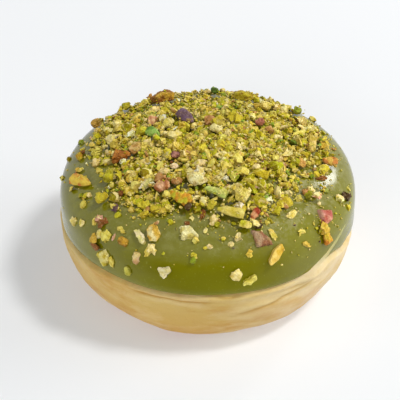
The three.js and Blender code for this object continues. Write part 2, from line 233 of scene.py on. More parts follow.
# Fine, shallow wrinkles and pores of the crust, below the glaze only.
for vertex in dough_bm.verts:
    point = vertex.co / MM
    if 0.5 < point.z < 25.5:
        stretched = Vector((point.x * 0.10, point.y * 0.10, point.z * 0.34))
        puff = noise.fractal(stretched, 0.9, 2.0, 3)
        vertex.co += vertex.normal * MM * 0.24 * puff * min(1.0, (point.z - 0.5) / 3)

dough = finished("baked_dough", dough_bm)
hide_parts("dough")


def screen(hex_colour):
    """A colour as a painter's hex code, turned into the linear values that shaders take."""
    parts = [int(hex_colour[i:i + 2], 16) / 255 for i in (0, 2, 4)]
    return tuple(p / 12.92 if p < 0.04045 else ((p + 0.055) / 1.055) ** 2.4 for p in parts)


def point_values(piece, name, values):
    """Stores one number for each vertex, for the piece's material to read."""
    layer = piece.data.attributes.new(name, "FLOAT", "POINT")
    layer.data.foreach_set("value", np.asarray(values, dtype=np.float32))


dough_points = np.array([v.co[:] for v in dough.data.vertices]) / MM
dough_turn = np.arctan2(dough_points[:, 1], dough_points[:, 0])
near_arc = np.interp(-dough_points[:, 2], -outline_z, outline_arc)
fold_here, swell_here = crease_depth(dough_turn, near_arc)
# Painted shade in the folds and painted highlight on the swells beside them, for the crust's colour.
point_values(dough, "fold", np.clip(fold_here * 1.9, 0, 1))
point_values(dough, "swell", np.clip(swell_here, 0, 1))
# A film of glaze clings to the crest, thicker towards its far end.
dough_degrees = np.degrees(dough_turn) % 360
film = np.clip((dough_degrees - 308) / 20, 0, 1) * np.clip((58.5 - near_arc) / 2.5, 0, 1)
point_values(dough, "film", film)


class Nodes:
    """A material's or the world's node tree, with short ways to add and join nodes."""

    def __init__(self, owner):
        owner.use_nodes = True
        self.tree = owner.node_tree
        self.tree.nodes.clear()

    def add(self, kind, **settings):
        node = self.tree.nodes.new(kind)
        for key, value in settings.items():
            setattr(node, key, value)
        return node

    def feed(self, node, **inputs):
        for key, value in inputs.items():
            socket = node.inputs[key.replace("_", " ")]
            if isinstance(value, bpy.types.NodeSocket):
                self.tree.links.new(value, socket)
            else:
                socket.default_value = value
        return node

    def attribute(self, name, output="Fac"):
        return self.add("ShaderNodeAttribute", attribute_name=name).outputs[output]

    def where(self):
        return self.add("ShaderNodeTexCoord").outputs["Object"]

    def stretched(self, scale):
        mapping = self.add("ShaderNodeMapping")
        self.feed(mapping, Vector=self.where(), Scale=scale)
        return mapping.outputs["Vector"]

    def cloud(self, scale, detail=3.0, vector=None, roughness=0.5):
        node = self.add("ShaderNodeTexNoise")
        self.feed(node, Vector=vector or self.where(), Scale=scale, Detail=detail, Roughness=roughness)
        return node.outputs["Fac"]

    def ramp(self, fac, *stops):
        node = self.add("ShaderNodeValToRGB")
        elements = node.color_ramp.elements
        while len(elements) < len(stops):
            elements.new(0.5)
        for element, (place, colour) in zip(elements, stops):
            element.position = place
            element.color = (*colour, 1)
        self.feed(node, Fac=fac)
        return node.outputs["Color"]

    def grey(self, fac, *stops):
        return self.ramp(fac, *[(place, (value, value, value)) for place, value in stops])

    def blend(self, fac, first, second, how="MIX"):
        node = self.add("ShaderNodeMix", data_type="RGBA", blend_type=how, clamp_factor=True)
        sockets = (node.inputs[0], node.inputs[6], node.inputs[7])
        for socket, value in zip(sockets, (fac, first, second)):
            if isinstance(value, bpy.types.NodeSocket):
                self.tree.links.new(value, socket)
            else:
                socket.default_value = (*value, 1) if isinstance(value, tuple) else value
        return node.outputs[2]

    def sums(self, how, first, second):
        node = self.add("ShaderNodeMath", operation=how)
        for socket, value in zip(node.inputs, (first, second)):
            if isinstance(value, bpy.types.NodeSocket):
                self.tree.links.new(value, socket)
            else:
                socket.default_value = value
        return node.outputs[0]

    def bump(self, height, distance, strength=1.0, normal=None):
        node = self.add("ShaderNodeBump")
        self.feed(node, Height=height, Distance=distance, Strength=strength)
        if normal:
            self.feed(node, Normal=normal)
        return node.outputs["Normal"]

    def surface(self, **inputs):
        shader = self.feed(self.add("ShaderNodeBsdfPrincipled"), **inputs)
        output = self.add("ShaderNodeOutputMaterial")
        self.tree.links.new(shader.outputs[0], output.inputs["Surface"])


# Colours are chosen by height as a share of 45 mm, or by distance as a share of 50 mm.
WHOLE_HEIGHT = 0.045
PER_50_MM = 20.0


def baked_crust():
    material = bpy.data.materials.new("baked_crust")
    n = Nodes(material)
    height = n.feed(n.add("ShaderNodeSeparateXYZ"), Vector=n.where())
    drift = n.sums("MULTIPLY_ADD", n.cloud(60, 2), 0.010)
    drift.node.inputs[2].default_value = -0.005
    level = n.sums("ADD", height.outputs["Z"], drift)
    level = n.sums("MULTIPLY", level, 1 / WHOLE_HEIGHT)
    side = n.ramp(level, (0.0, screen("c47a30")), (0.06, screen("c6984a")), (0.30, screen("cca85c")),
                  (0.55, screen("d2b66e")))
    golden = n.grey(n.cloud(70, 5, n.stretched((0.8, 0.8, 2.4)), 0.6), (0.50, 0.0), (0.66, 1.0))
    colour = n.blend(n.sums("MULTIPLY", golden, 0.6), side, screen("c08a38"))
    pale = n.grey(n.cloud(95, 5, n.stretched((0.7, 0.7, 2.0)), 0.6), (0.48, 0.0), (0.62, 1.0))
    colour = n.blend(n.sums("MULTIPLY", pale, 0.7), colour, screen("d6b97c"))
    # Painted light: the right side, which the lamps light most, is painted paler and creamier in patches.
    rightward = n.grey(n.sums("MULTIPLY", height.outputs["X"], PER_50_MM), (0.10, 0.0), (0.72, 1.0))
    paler = n.grey(n.cloud(130, 4, n.stretched((0.8, 0.8, 2.2)), 0.65), (0.36, 0.35), (0.62, 1.0))
    lit_side = n.sums("MULTIPLY", n.sums("MULTIPLY", rightward, paler), 0.6)
    colour = n.blend(lit_side, colour, screen("e6d6b8"))
    # Painted highlight on the swells beside the creases, and painted shade in the folds.
    colour = n.blend(n.sums("MULTIPLY", n.attribute("swell"), 0.5), colour, screen("e2cf9e"))
    colour = n.blend(n.sums("MULTIPLY", n.attribute("fold"), 0.8), colour, screen("b0802a"))
    specks = n.grey(n.cloud(900, 2), (0.60, 0.0), (0.72, 1.0))
    colour = n.blend(n.sums("MULTIPLY", specks, 0.18), colour, screen("b98a3f"))
    colour = n.blend(n.sums("MULTIPLY", n.attribute("film"), 0.85), colour, screen("9c9c5c"))
    wrinkles = n.bump(n.cloud(220, 5, n.stretched((0.6, 0.6, 1.6))), 0.0009, 0.35)
    pores = n.bump(n.cloud(1500, 2), 0.00025, 0.35, wrinkles)
    n.surface(Base_Color=colour, Roughness=n.grey(n.cloud(300, 3), (0.3, 0.5), (0.7, 0.66)), Normal=pores,
              Subsurface_Weight=0.06, Subsurface_Radius=(0.004, 0.0024, 0.0008), Subsurface_Scale=0.5,
              Specular_IOR_Level=0.25)
    return material


dough.data.materials.append(baked_crust())

# ---------------------------------------------------------------------------
# The glaze: pistachio-green icing poured warm over the crown, about a
# millimetre thick. It sets glossy, with slow ripples and a rounded lip.
# ---------------------------------------------------------------------------
# The rounded lip: millimetres past the glaze's end, and the share of its thickness, from below up.
LIP = ((0.0, 0.0), (0.30, 0.08), (0.50, 0.25), (0.58, 0.5), (0.52, 0.75), (0.34, 0.93), (0.0, 1.0))
# Places on the glaze are spun as hundredths of the way to its end.
FULL = 100.0


def glaze_place(bearing, distance, layer):
    share = np.minimum(distance / FULL, 1)
    past = np.clip(distance / FULL - 1, 0, None) * FULL
    end = glaze_end(bearing)
    arc = share * end + past
    ripple = (0.10 * np.sin(0.21 * arc + 3 * bearing + 0.5) * np.sin(2 * bearing + 0.13 * arc)
              + 0.06 * np.sin(5 * bearing - 0.3 * arc)) * np.clip(arc / 20, 0, 1)
    thicker = 0.14 * np.exp(-((arc - end + 1.6) / 1.5) ** 2)
    lift = -GLAZE_THICKNESS * (1 - layer) + (ripple + thicker) * layer
    return on_round(bearing, arc, lift)


inside = [(FULL * share, 0.0) for share in np.linspace(0, 1, 26)[:-1]]
lip = [(FULL + past, layer) for past, layer in LIP]
outside = [(FULL * share, 1.0) for share in (*np.linspace(0.99, 0.9, 8), *np.linspace(0.88, 0, 40))]
glaze_bm = spun_profile(inside + lip, outside, 288)
laid_out(glaze_bm, glaze_place)
glaze = finished("pistachio_glaze", glaze_bm)
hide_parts("glaze")


def set_glaze():
    material = bpy.data.materials.new("set_glaze")
    n = Nodes(material)
    streaks = n.grey(n.cloud(38, 3, n.stretched((1, 1, 1.6))), (0.32, 0.0), (0.68, 1.0))
    colour = n.blend(streaks, screen("6f6a00"), screen("7c7806"))
    dust = n.grey(n.cloud(1400, 1), (0.66, 0.0), (0.74, 1.0))
    colour = n.blend(n.sums("MULTIPLY", dust, 0.25), colour, screen("a3a84c"))
    height = n.feed(n.add("ShaderNodeSeparateXYZ"), Vector=n.where())
    near_heap = n.grey(n.sums("MULTIPLY", height.outputs["Z"], PER_50_MM), (0.68, 0.0), (0.86, 1.0))
    powder = n.grey(n.cloud(420, 5, None, 0.7), (0.46, 0.0), (0.66, 1.0))
    powdered = n.sums("MULTIPLY", n.sums("MULTIPLY", near_heap, powder), 0.4)
    colour = n.blend(powdered, colour, screen("b0ac6e"))
    # Dust and painted glare: powder on the front-right shoulder, also painted paler and greyer there as a
    # hazy reflection.
    across = n.sums("MULTIPLY", height.outputs["X"], PER_50_MM)
    forward = n.sums("MULTIPLY", height.outputs["Y"], -16.0)
    front_right = n.grey(n.sums("ADD", across, forward), (0.62, 0.0), (0.95, 1.0))
    shoulder = n.grey(n.sums("MULTIPLY", height.outputs["Z"], PER_50_MM), (0.72, 0.0), (0.84, 1.0))
    dust_and_glare = n.sums("MULTIPLY", n.sums("MULTIPLY", front_right, shoulder), powder)
    colour = n.blend(n.sums("MULTIPLY", dust_and_glare, 0.7), colour, screen("bcb490"))
    gloss = n.grey(n.cloud(70, 3), (0.3, 0.13), (0.7, 0.2))
    film = n.bump(n.cloud(45, 2), 0.0012, 0.18)
    n.surface(Base_Color=colour, Roughness=gloss, Normal=film, Specular_IOR_Level=0.5,
              Subsurface_Weight=0.08, Subsurface_Radius=(0.001, 0.0012, 0.0004), Subsurface_Scale=0.5)
    return material


glaze.data.materials.append(set_glaze())

# ---------------------------------------------------------------------------
# The larger pieces: half kernels, chunks, slivers and flakes of pistachio that
# can be told apart. Each takes the place of its own solid, pressed a little
# into the glaze or the crumbs, with worn edges and a broken surface.
# ---------------------------------------------------------------------------
chance = random.Random(20)
# The two colours of each piece: its flesh, and the skin or stain that covers part of it.
PIECE_COLOURS = {
    "crown_purple_kernel": ("6d5266", "a8884a"), "crown_green_kernel": ("98b25a", "5c8226"),
    "crown_cream_shard": ("e6c890", "c98f63"), "crown_pale_chunk": ("ead992", "d3c45c"),
    "crown_pink_chunk": ("8f5d55", "c08a7a"), "crown_cream_wedge": ("f0dfa2", "d6bc54"),
    "crown_cream_block": ("eedd9c", "ddcf84"), "crown_big_cream_chunk": ("f6e6b4", "dcc078"),
    "crown_tan_end": ("c0884e", "dcb478"), "crown_white_chip": ("f5e8d2", "e8cfa8"),
    "crown_yellow_piece": ("d4b628", "e2cf68"), "crown_green_chunk": ("a8ac2e", "c8c454"),
    "crown_pink_brown_chunk": ("a86a50", "cfa074"), "left_orange_skin": ("c07a34", "985c24"),
    "left_tan_strip": ("be9050", "d8b878"), "left_pale_block": ("dccb78", "e8da98"),
    "left_olive_piece": ("c4b222", "a0921c"), "left_long_kernel": ("e2c04a", "cc7430"),
    "left_olive_half": ("b8a226", "c07a1e"), "left_olive_block": ("ccba32", "b09c22"),
    "left_pale_yellow_bit": ("dcca5c", "c8b43c"), "left_yellow_bit": ("dcca5c", "e6da8c"),
    "left_pale_bit": ("e6d688", "d6c454"), "back_brown_topped_strip": ("8e5c22", "c2a03a"),
    "back_tan_piece": ("b8903e", "8e6a26"), "back_olive_piece": ("b4a628", "8c8c20"),
    "back_olive_strip": ("c4b432", "96781e"), "back_green_chip": ("64802a", "425616"),
    "back_yellow_green_chip": ("aeac30", "8e9426"), "back_cream_wedge": ("e2d078", "ccb84a"),
    "right_pale_strip": ("dec472", "ccb04a"), "right_yellow_piece": ("dcb450", "c88440"),
    "right_orange_piece": ("c08a44", "d8b25a"), "right_green_chip": ("a0a44a", "7c8432"),
    "right_olive_pair": ("aca41e", "8a861a"), "right_red_triangle": ("b45c56", "dca092"),
    "right_yellow_orange_piece": ("d0b232", "d2822c"), "front_pale_lump": ("e8d88c", "d8c458"),
    "front_yellow_plank": ("eada7c", "d8c244"), "front_green_long_piece": ("c4ca68", "d8cf78"),
    "front_yellow_green_piece": ("cabc38", "b0a82c"), "front_red_skin": ("9a3a1e", "d89a6c"),
    "front_yellow_chip": ("d2c032", "e0d46c"), "front_glazed_shard": ("a06c50", "b48e70"),
    "front_golden_plank": ("efd26a", "d8b23c"), "front_yellow_side_block": ("e4da6a", "c2b430"),
    "front_salmon_chunk": ("dcb088", "a86a3e"), "front_orange_ended_piece": ("cec234", "dc9c30"),
    "front_white_cluster": ("efebbe", "d2ce84"), "front_golden_cluster": ("d8ac44", "eede98"),
    "front_big_cream_chip": ("f4e8b0", "dccb70"), "front_cream_rod": ("f4e8b4", "e4d48c"),
    "front_golden_brown_bit": ("c89c34", "9a6c24"), "front_pink_cream_bit": ("ecd098", "d6a888"),
    "front_side_pale_piece": ("eee292", "c6b93a"), "front_side_green_bit": ("d2cc5e", "b0ae3a"),
    "front_side_white_bit": ("f8f2cc", "e8dfa8")}

# The heights reached over the glaze, on a square grid of the crown unrolled flat, and where on it
# a larger piece already lies.
CELL = 0.25
SPAN = 62.0
CELLS = int(2 * SPAN / CELL)
heights = np.zeros((CELLS, CELLS))
taken = np.zeros((CELLS, CELLS), dtype=bool)

# The heap lies farther down at the back than at the front, and three bare bays cut into its edge:
# bearing in degrees and depth in millimetres. Most crumbs fell loose in the bays.
HEAP_REACH = 37.0
HEAP_LEAN = 2.5
BAYS = ((190, 5.5), (262, 6.5), (328, 6.0))
BAY_HALF_WIDTH = 16


def bay_depth(bearing):
    return sum(depth * bump_at(bearing, at, BAY_HALF_WIDTH) for at, depth in BAYS)


def heap_end(bearing):
    return HEAP_REACH + HEAP_LEAN * np.sin(bearing) - bay_depth(bearing)


def loose_spread(bearing):
    """How far past the heap's edge loose crumbs thin out, in millimetres."""
    return 3.0 + 0.75 * bay_depth(bearing)


def cell_at(bearing, arc):
    return (int((arc * math.cos(bearing) + SPAN) / CELL), int((arc * math.sin(bearing) + SPAN) / CELL))


def frame_on_round(bearing, arc):
    """Place on the glaze and the three directions there: round, towards the crown, and outwards."""
    b, a = np.array([bearing]), np.array([arc])
    point = Vector(on_round(b, a, 0 * a)[0])
    _, _, out_r, out_z = outline_at(a)
    up = Vector((out_r[0] * math.cos(bearing), out_r[0] * math.sin(bearing), out_z[0])).normalized()
    along = Vector((-math.sin(bearing), math.cos(bearing), 0))
    return point, along, up.cross(along).normalized(), up


def colour_near(hex_colour, spread):
    """A colour a little lighter or darker, and a little off in hue, as no two crumbs are alike."""
    light = 1.05 + chance.uniform(-spread, spread)
    parts = [c * light * (1 + chance.uniform(-0.06, 0.06)) for c in screen(hex_colour)]
    return np.array([min(1.0, part) for part in parts])


# Painted shade: a nut's flesh is painted palest on faces turned up towards the light, and deeper
# in colour on the sides and undersides, where shade falls.
SIDE_SHADE = np.array((0.40, 0.31, 0.04))


def shaded_by_facing(colours, lit_share):
    """Colours darkened as painted shade, given how far each face turns up to the light, from 0 to 1."""
    return colours * (SIDE_SHADE + (1 - SIDE_SHADE) * lit_share[:, None])


def nut_flesh(name, mottle_scale, shade, powder):
    material = bpy.data.materials.new(name)
    n = Nodes(material)
    tint = n.attribute("tint", "Color")
    mottle = n.grey(n.cloud(mottle_scale, 5, None, 0.65), (0.36, 0.0), (0.58, 1.0))
    colour = n.blend(mottle, n.blend(1.0, tint, shade, "MULTIPLY"), tint)
    crumbly = n.grey(n.cloud(2300, 3, None, 0.7), (0.56, 0.0), (0.68, 1.0))
    colour = n.blend(n.sums("MULTIPLY", crumbly, powder), colour, screen("f2e2a0"))
    grain = n.bump(n.cloud(1700, 4), 0.0006, 0.8)
    n.surface(Base_Color=colour, Roughness=0.55, Normal=grain, Specular_IOR_Level=0.25)
    return material


flesh = nut_flesh("nut_flesh", 700, (0.76, 0.68, 0.24), 0.34)
piece_flesh = nut_flesh("large_nut_flesh", 420, (0.84, 0.76, 0.46), 0.22)


def face_tints(piece, colours):
    """Stores one colour for each triangle of a piece, for its material to read."""
    values = np.repeat(np.clip(colours, 0, 1).astype(np.float32), 3, axis=0)
    layer = piece.data.attributes.new("tint", "FLOAT_COLOR", "CORNER")
    opaque = np.ones((len(values), 1), np.float32)
    layer.data.foreach_set("color", np.concatenate((values, opaque), 1).ravel())


def note_piece(points, ground, up):
    """Notes how high a piece stands and where it lies, so that crumbs fall beside it, not through it."""
    lifts = (points - np.array(ground)) @ np.array(up)
    reach = np.hypot(points[:, 0], points[:, 1])
    arcs = np.interp(reach, outline_r[ABOVE_WIDEST], outline_arc[ABOVE_WIDEST])
    for (x, y, _), arc, lift in zip(points, arcs, lifts):
        i, j = cell_at(math.atan2(y, x), arc)
        block = (slice(i, i + 2), slice(j, j + 2))
        heights[block] = np.maximum(heights[block], lift)
        taken[block] = True


# Above this height a piece's place is read from its distance to the axis, below it from its height.
SHOULDER_HEIGHT = 36
SUNK_IN_GLAZE = 0.8
SUNK_IN_CRUMBS = 1.25


def chopped_piece(node):
    bm = bmesh.new()
    bm.from_mesh(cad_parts[node].data)
    bmesh.ops.remove_doubles(bm, verts=bm.verts, dist=1e-6)
    bmesh.ops.dissolve_limit(bm, angle_limit=0.1, verts=bm.verts, edges=bm.edges)
    bmesh.ops.bevel(bm, geom=bm.edges[:] + bm.verts[:], offset=0.0002, offset_type="OFFSET", segments=1,
                    profile=0.5, affect="EDGES", material=-1, clamp_overlap=True)
    bmesh.ops.triangulate(bm, faces=bm.faces)
    for longest, cuts in ((0.0007, 2), (0.0006, 1), (0.0005, 1)):
        bmesh.ops.subdivide_edges(bm, edges=[e for e in bm.edges if e.calc_length() > longest], cuts=cuts)
        bmesh.ops.triangulate(bm, faces=bm.faces)
    bm.normal_update()
    seed = Vector((chance.uniform(0, 50), chance.uniform(0, 50), chance.uniform(0, 50)))
    low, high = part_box(node)
    middle = (low + high) / 2 / MM
    bearing = math.atan2(middle.y, middle.x)
    reach = math.hypot(middle.x, middle.y)
    on_top = middle.z > SHOULDER_HEIGHT
    arc = float(np.interp(reach, outline_r[ABOVE_WIDEST], outline_arc[ABOVE_WIDEST]) if on_top
                else np.interp(-middle.z, -outline_z, outline_arc))
    ground, _, _, up = frame_on_round(bearing, arc)
    crisp = "plank" in node or "triangle" in node
    whole = "kernel" in node
    coarse_depth, fine_depth = (0.10, 0.03) if crisp else (0.22, 0.08) if whole else (0.50, 0.16)
    moved = []
    for vertex in bm.verts:
        point = vertex.co / MM
        coarse_noise = noise.fractal(point * 0.55 + seed, 0.7, 2.2, 3)
        fine_noise = noise.noise(point * 2.4 + seed)
        depth = coarse_depth * coarse_noise + fine_depth * fine_noise
        moved.append(vertex.co + vertex.normal * MM * depth)
    for vertex, place in zip(bm.verts, moved):
        vertex.co = place
    sunk = SUNK_IN_GLAZE if arc > float(heap_end(bearing)) * 1.04 else SUNK_IN_CRUMBS
    bmesh.ops.translate(bm, vec=-up * sunk * MM, verts=bm.verts)
    note_piece(np.array([v.co[:] for v in bm.verts]) / MM, ground, up)
    piece = finished(node + "_piece", bm, piece_flesh, smooth=False)
    first, second = (colour_near(hex_colour, 0.04) for hex_colour in PIECE_COLOURS[node])
    polygons = piece.data.polygons
    spots = np.array([noise.noise(Vector(face.center) / MM * 0.5 + seed) for face in polygons])
    facing = np.array([face.normal[:] for face in polygons]) @ np.array(up)
    share = np.clip(spots * 2.6 + (1.2 if whole else 0.66), 0, 1)[:, None]
    # Painted shade: faces turned away from the top are painted darker.
    lit_share = np.clip(facing * 0.5 + 0.66, 0.3, 1)
    face_tints(piece, shaded_by_facing(first * share + second * (1 - share), lit_share))
    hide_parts(node)


for node in sorted(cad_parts):
    if node not in ("dough", "glaze", "crumb_bed"):
        chopped_piece(node)

# ---------------------------------------------------------------------------
# The crumbs: pistachio chopped to anything from dust to half kernels, strewn
# over the crown while the glaze was wet. Each crumb is a nut shape with cut
# faces, and every one lies on the glaze or on the crumbs below it.
# ---------------------------------------------------------------------------


def cut_nut(cuts, subdivisions, stretch, ragged):
    """A nut shape of size 1: a ball cut flat by several knife planes, its surface broken unevenly."""
    bm = bmesh.new()
    bmesh.ops.create_icosphere(bm, subdivisions=subdivisions, radius=0.62)
    bmesh.ops.scale(bm, vec=stretch, verts=bm.verts)
    for _ in range(cuts):
        knife = Vector((chance.gauss(0, 1), chance.gauss(0, 1), chance.gauss(0, 1))).normalized()
        depth = chance.uniform(0.18, 0.42) * (abs(knife.x) * stretch[0] + abs(knife.y) * stretch[1]
                                              + abs(knife.z) * stretch[2])
        bmesh.ops.bisect_plane(bm, geom=bm.verts[:] + bm.edges[:] + bm.faces[:], dist=1e-5,
                               plane_co=knife * depth, plane_no=knife, clear_outer=True)
        bmesh.ops.holes_fill(bm, edges=[e for e in bm.edges if e.is_boundary])
    bmesh.ops.remove_doubles(bm, verts=bm.verts, dist=0.07)
    bmesh.ops.triangulate(bm, faces=bm.faces)
    bmesh.ops.recalc_face_normals(bm, faces=bm.faces)
    bm.normal_update()
    offset = Vector((chance.uniform(0, 90), 0, 0))
    for vertex in bm.verts:
        vertex.co += vertex.normal * ragged * noise.noise(vertex.co * 4.2 + offset)
    bm.verts.index_update()
    corners = np.array([v.co[:] for v in bm.verts])
    faces = np.array([[v.index for v in face.verts] for face in bm.faces])
    bm.free()
    return corners, faces


lumps = [cut_nut(chance.choice((3, 4, 5)), 2, (1.15, 1.0, 0.85), 0.42) for _ in range(12)]
flakes = [cut_nut(chance.choice((3, 4)), 2, (1.35, 1.05, 0.42), 0.24) for _ in range(6)]
splinters = [cut_nut(chance.choice((2, 3)), 1, (2.0, 0.5, 0.4), 0.12) for _ in range(5)]
crumb_bag = lumps * 3 + flakes * 2 + splinters
small_bag = [cut_nut(chance.choice((1, 2)), 1, (1.15, 0.95, 0.75), 0.34) for _ in range(12)]
small_bag += splinters[:2]
grit_bag = [cut_nut(chance.choice((1, 2, 3)), 1, (1.15, 0.95, 0.8), 0.24) for _ in range(8)]
grit_bag += splinters[:3]


def settle(bearing, arc, width, height, sink):
    """Lets a crumb come to rest on what lies there, and notes the height it now reaches."""
    half = max(1, int(round(width / 2 / CELL)))
    i, j = cell_at(bearing, arc)
    patch = heights[i - half:i + half + 1, j - half:j + half + 1]
    floor_height = 0.35 * patch.max() + 0.65 * patch.mean()
    rest = max(-0.25 * height, floor_height - sink * height)
    rows = np.arange(-half, half + 1)
    dome = np.clip(1 - (rows[:, None] ** 2 + rows[None, :] ** 2) / (half + 0.5) ** 2, 0, 1) ** 0.5
    np.maximum(patch, (rest + 0.85 * height * dome) * (dome > 0.2), out=patch)
    return rest


# The colours of single crumbs, and how many of a hundred or so large and small crumbs have each.
NUT_TINTS = {
    "cream": "f1de98", "pale": "e4d068", "yellow": "d6c438", "golden": "d8b648", "lime": "beb820",
    "olive": "a89a14", "green": "8a9822", "bright": "94b044", "tan": "c8945a", "brown": "8a5628",
    "plum": "6a5058", "pink": "d6a088", "white": "f6eed0", "dark": "4a3418", "red": "9c4434"}
LARGE_MIX = (("cream", 32), ("pale", 36), ("yellow", 18), ("golden", 5), ("lime", 6), ("tan", 2),
             ("white", 3))
SMALL_MIX = (("cream", 16), ("pale", 30), ("yellow", 26), ("golden", 4), ("lime", 16), ("olive", 9),
             ("green", 3), ("bright", 3), ("tan", 3), ("brown", 1), ("pink", 1), ("white", 2))
large_tints = [name for name, count in LARGE_MIX for _ in range(count)]
small_tints = [name for name, count in SMALL_MIX for _ in range(count)]


class Strewn:
    """Gathers many small pieces into one mesh, with the colour of every triangle."""

    def __init__(self):
        self.corners = []
        self.faces = []
        self.tints = []
        self.tops = []
        self.cells = []
        self.count = 0

    def add(self, shape, matrix, up, first, second, turn, cell):
        corners, faces = shape
        turned = np.array(matrix)
        placed = corners @ turned[:3, :3].T + turned[:3, 3]
        one, two, three = (placed[faces[:, k]] for k in range(3))
        facing = np.cross(two - one, three - one)
        facing /= np.linalg.norm(facing, axis=1)[:, None] + 1e-12
        colours = np.where((facing @ turn > 0.55)[:, None], second, first)
        # Painted shade: faces turned away from the top are painted darker.
        self.tints.append(shaded_by_facing(colours, np.clip(facing @ np.array(up) * 0.62 + 0.5, 0, 1)))
        self.corners.append(placed)
        self.faces.append(faces + self.count)
        self.tops.append(heights[cell])
        self.cells.append(cell)
        self.count += len(placed)

    def finish(self, name, material):
        """Makes the mesh; crumbs that lie lower than those around them get the darkest painted shade."""
        blurred = heights.copy()
        for axis in (0, 1):
            blurred = sum(np.roll(blurred, step, axis) for step in range(-5, 6)) / 11
        # Painted shade in the hollows: crumbs lower than the blurred heights around them are painted
        # darker.
        for k, (top, cell) in enumerate(zip(self.tops, self.cells)):
            low = min(1.0, max(0.0, (blurred[cell] - top + 0.1) / 0.9))
            self.tints[k] = self.tints[k] * (1 - low * np.array((0.58, 0.62, 0.78)))
        mesh = bpy.data.meshes.new(name)
        mesh.from_pydata(np.concatenate(self.corners), [], np.concatenate(self.faces))
        piece = bpy.data.objects.new(name, mesh)
        bpy.context.scene.collection.objects.link(piece)
        mesh.materials.append(material)
        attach(piece, "root")
        face_tints(piece, np.concatenate(self.tints))
        return piece


SKIN_TINTS = ("lime", "olive", "yellow", "cream", "pale")


def lay_crumb(heap, shape, bearing, arc, size, sink, flatness, tint=None):
    """Drops one crumb of a size at a place, turned at random, flatter where it lies on bare glaze."""
    point, along, to_crown, up = frame_on_round(bearing, arc)
    thick = size * chance.uniform(0.6, 0.85)
    rest = settle(bearing, arc, size * 0.8, thick, sink)
    heading = chance.uniform(0, 2 * math.pi)
    tilt = Matrix.Rotation(chance.gauss(0, 0.6) * (1 - flatness), 4, "X") \
        @ Matrix.Rotation(chance.gauss(0, 0.6) * (1 - flatness), 4, "Y")
    basis = Matrix((along, to_crown, up)).transposed().to_4x4()
    middle = point + up * (rest + thick * 0.5)
    matrix = Matrix.Translation(middle * MM) @ basis @ Matrix.Rotation(heading, 4, "Z") @ tilt \
        @ Matrix.Scale(size * MM, 4)
    first = tint or chance.choice(large_tints if size > 1.9 else small_tints)
    second = first if chance.random() < 0.7 else chance.choice(SKIN_TINTS)
    turn = Vector((chance.gauss(0, 1), chance.gauss(0, 1), chance.gauss(0, 1))).normalized()
    flesh_colour = colour_near(NUT_TINTS[first], 0.12)
    skin_colour = colour_near(NUT_TINTS[second], 0.12)
    heap.add(shape, matrix, up, flesh_colour, skin_colour, turn, cell_at(bearing, arc))


def back_share(bearing, arc):
    """From 0 to 1 towards the back edge of the heap, where it lies thinnest."""
    return math.exp(-(angle_between(bearing, math.radians(92)) / 1.0) ** 2) * min(1.0, arc / 30) ** 2


def heap_target(bearing, arc):
    """The height the heap is filled to: mounds and hollows, some down to the bare glaze."""
    share = arc / float(heap_end(bearing))
    spot = Vector((arc * math.cos(bearing), arc * math.sin(bearing), 0))
    mound = noise.noise(spot * 0.16 + Vector((3, 1, 0))) + 0.7 * noise.noise(spot * 0.37)
    full = 1.5 - 0.9 * back_share(bearing, arc)
    return (full + 1.7 * mound) * (1 - share ** 3) + 0.2 + 0.4 * noise.noise(spot * 0.6)


# How far from the crown each kind of crumb is strewn, as an arc in millimetres.
HEAP_STREWN = 43
ROLLED_STREWN = 54
GRIT_STREWN = 52


def anywhere(reach):
    """A bearing and an arc anywhere within a reach, evenly over the crown."""
    return chance.uniform(0, 2 * math.pi), reach * math.sqrt(chance.random())


coarse, small, fine = Strewn(), Strewn(), Strewn()


def strew_heap(heap, bag, drops, smallest, middle_size, largest, sink):
    """Strews crumbs until the heap is full; they are smaller towards the back and the left edge."""
    for _ in range(drops):
        bearing, arc = anywhere(HEAP_STREWN)
        cell = cell_at(bearing, arc)
        size = min(largest, max(smallest, chance.lognormvariate(math.log(middle_size), 0.3)))
        size *= 1 - 0.45 * back_share(bearing, arc)
        left = math.exp(-(angle_between(bearing, math.radians(190)) / 0.7) ** 2)
        size *= 1 - 0.32 * left * min(1.0, max(0.0, arc / float(heap_end(bearing)) * 2 - 1))
        half = int(size * 0.22 / CELL)
        beside = taken[cell[0] - half:cell[0] + half + 1, cell[1] - half:cell[1] + half + 1]
        if beside.any() or arc > heap_end(bearing) * (1.08 - 0.45 * chance.random() ** 1.6):
            continue
        if heights[cell] > heap_target(bearing, arc):
            continue
        lay_crumb(heap, chance.choice(bag), bearing, arc, size, sink, 0.1)


strew_heap(coarse, crumb_bag, 1500, 1.4, 2.0, 3.4, 0.3)
strew_heap(coarse, crumb_bag, 2200, 0.8, 1.4, 2.4, 0.3)
strew_heap(coarse, crumb_bag, 260, 2.2, 2.8, 3.9, 0.35)
strew_heap(small, small_bag, 7000, 0.6, 0.95, 1.7, 0.2)

# Crumbs that rolled clear of the heap and stuck to the bare glaze.
for _ in range(2600):
    bearing, arc = anywhere(ROLLED_STREWN)
    past = arc - float(heap_end(bearing))
    if past < -1 or chance.random() > 0.5 * math.exp(-max(0, past) / float(loose_spread(bearing))):
        continue
    if heights[cell_at(bearing, arc)] > 0.7:
        continue
    size = min(2.4, max(0.6, chance.lognormvariate(0.0, 0.4)))
    bag = crumb_bag if size > 1.1 else small_bag
    lay_crumb(small, chance.choice(bag), bearing, arc, size, 0.25, 0.6)

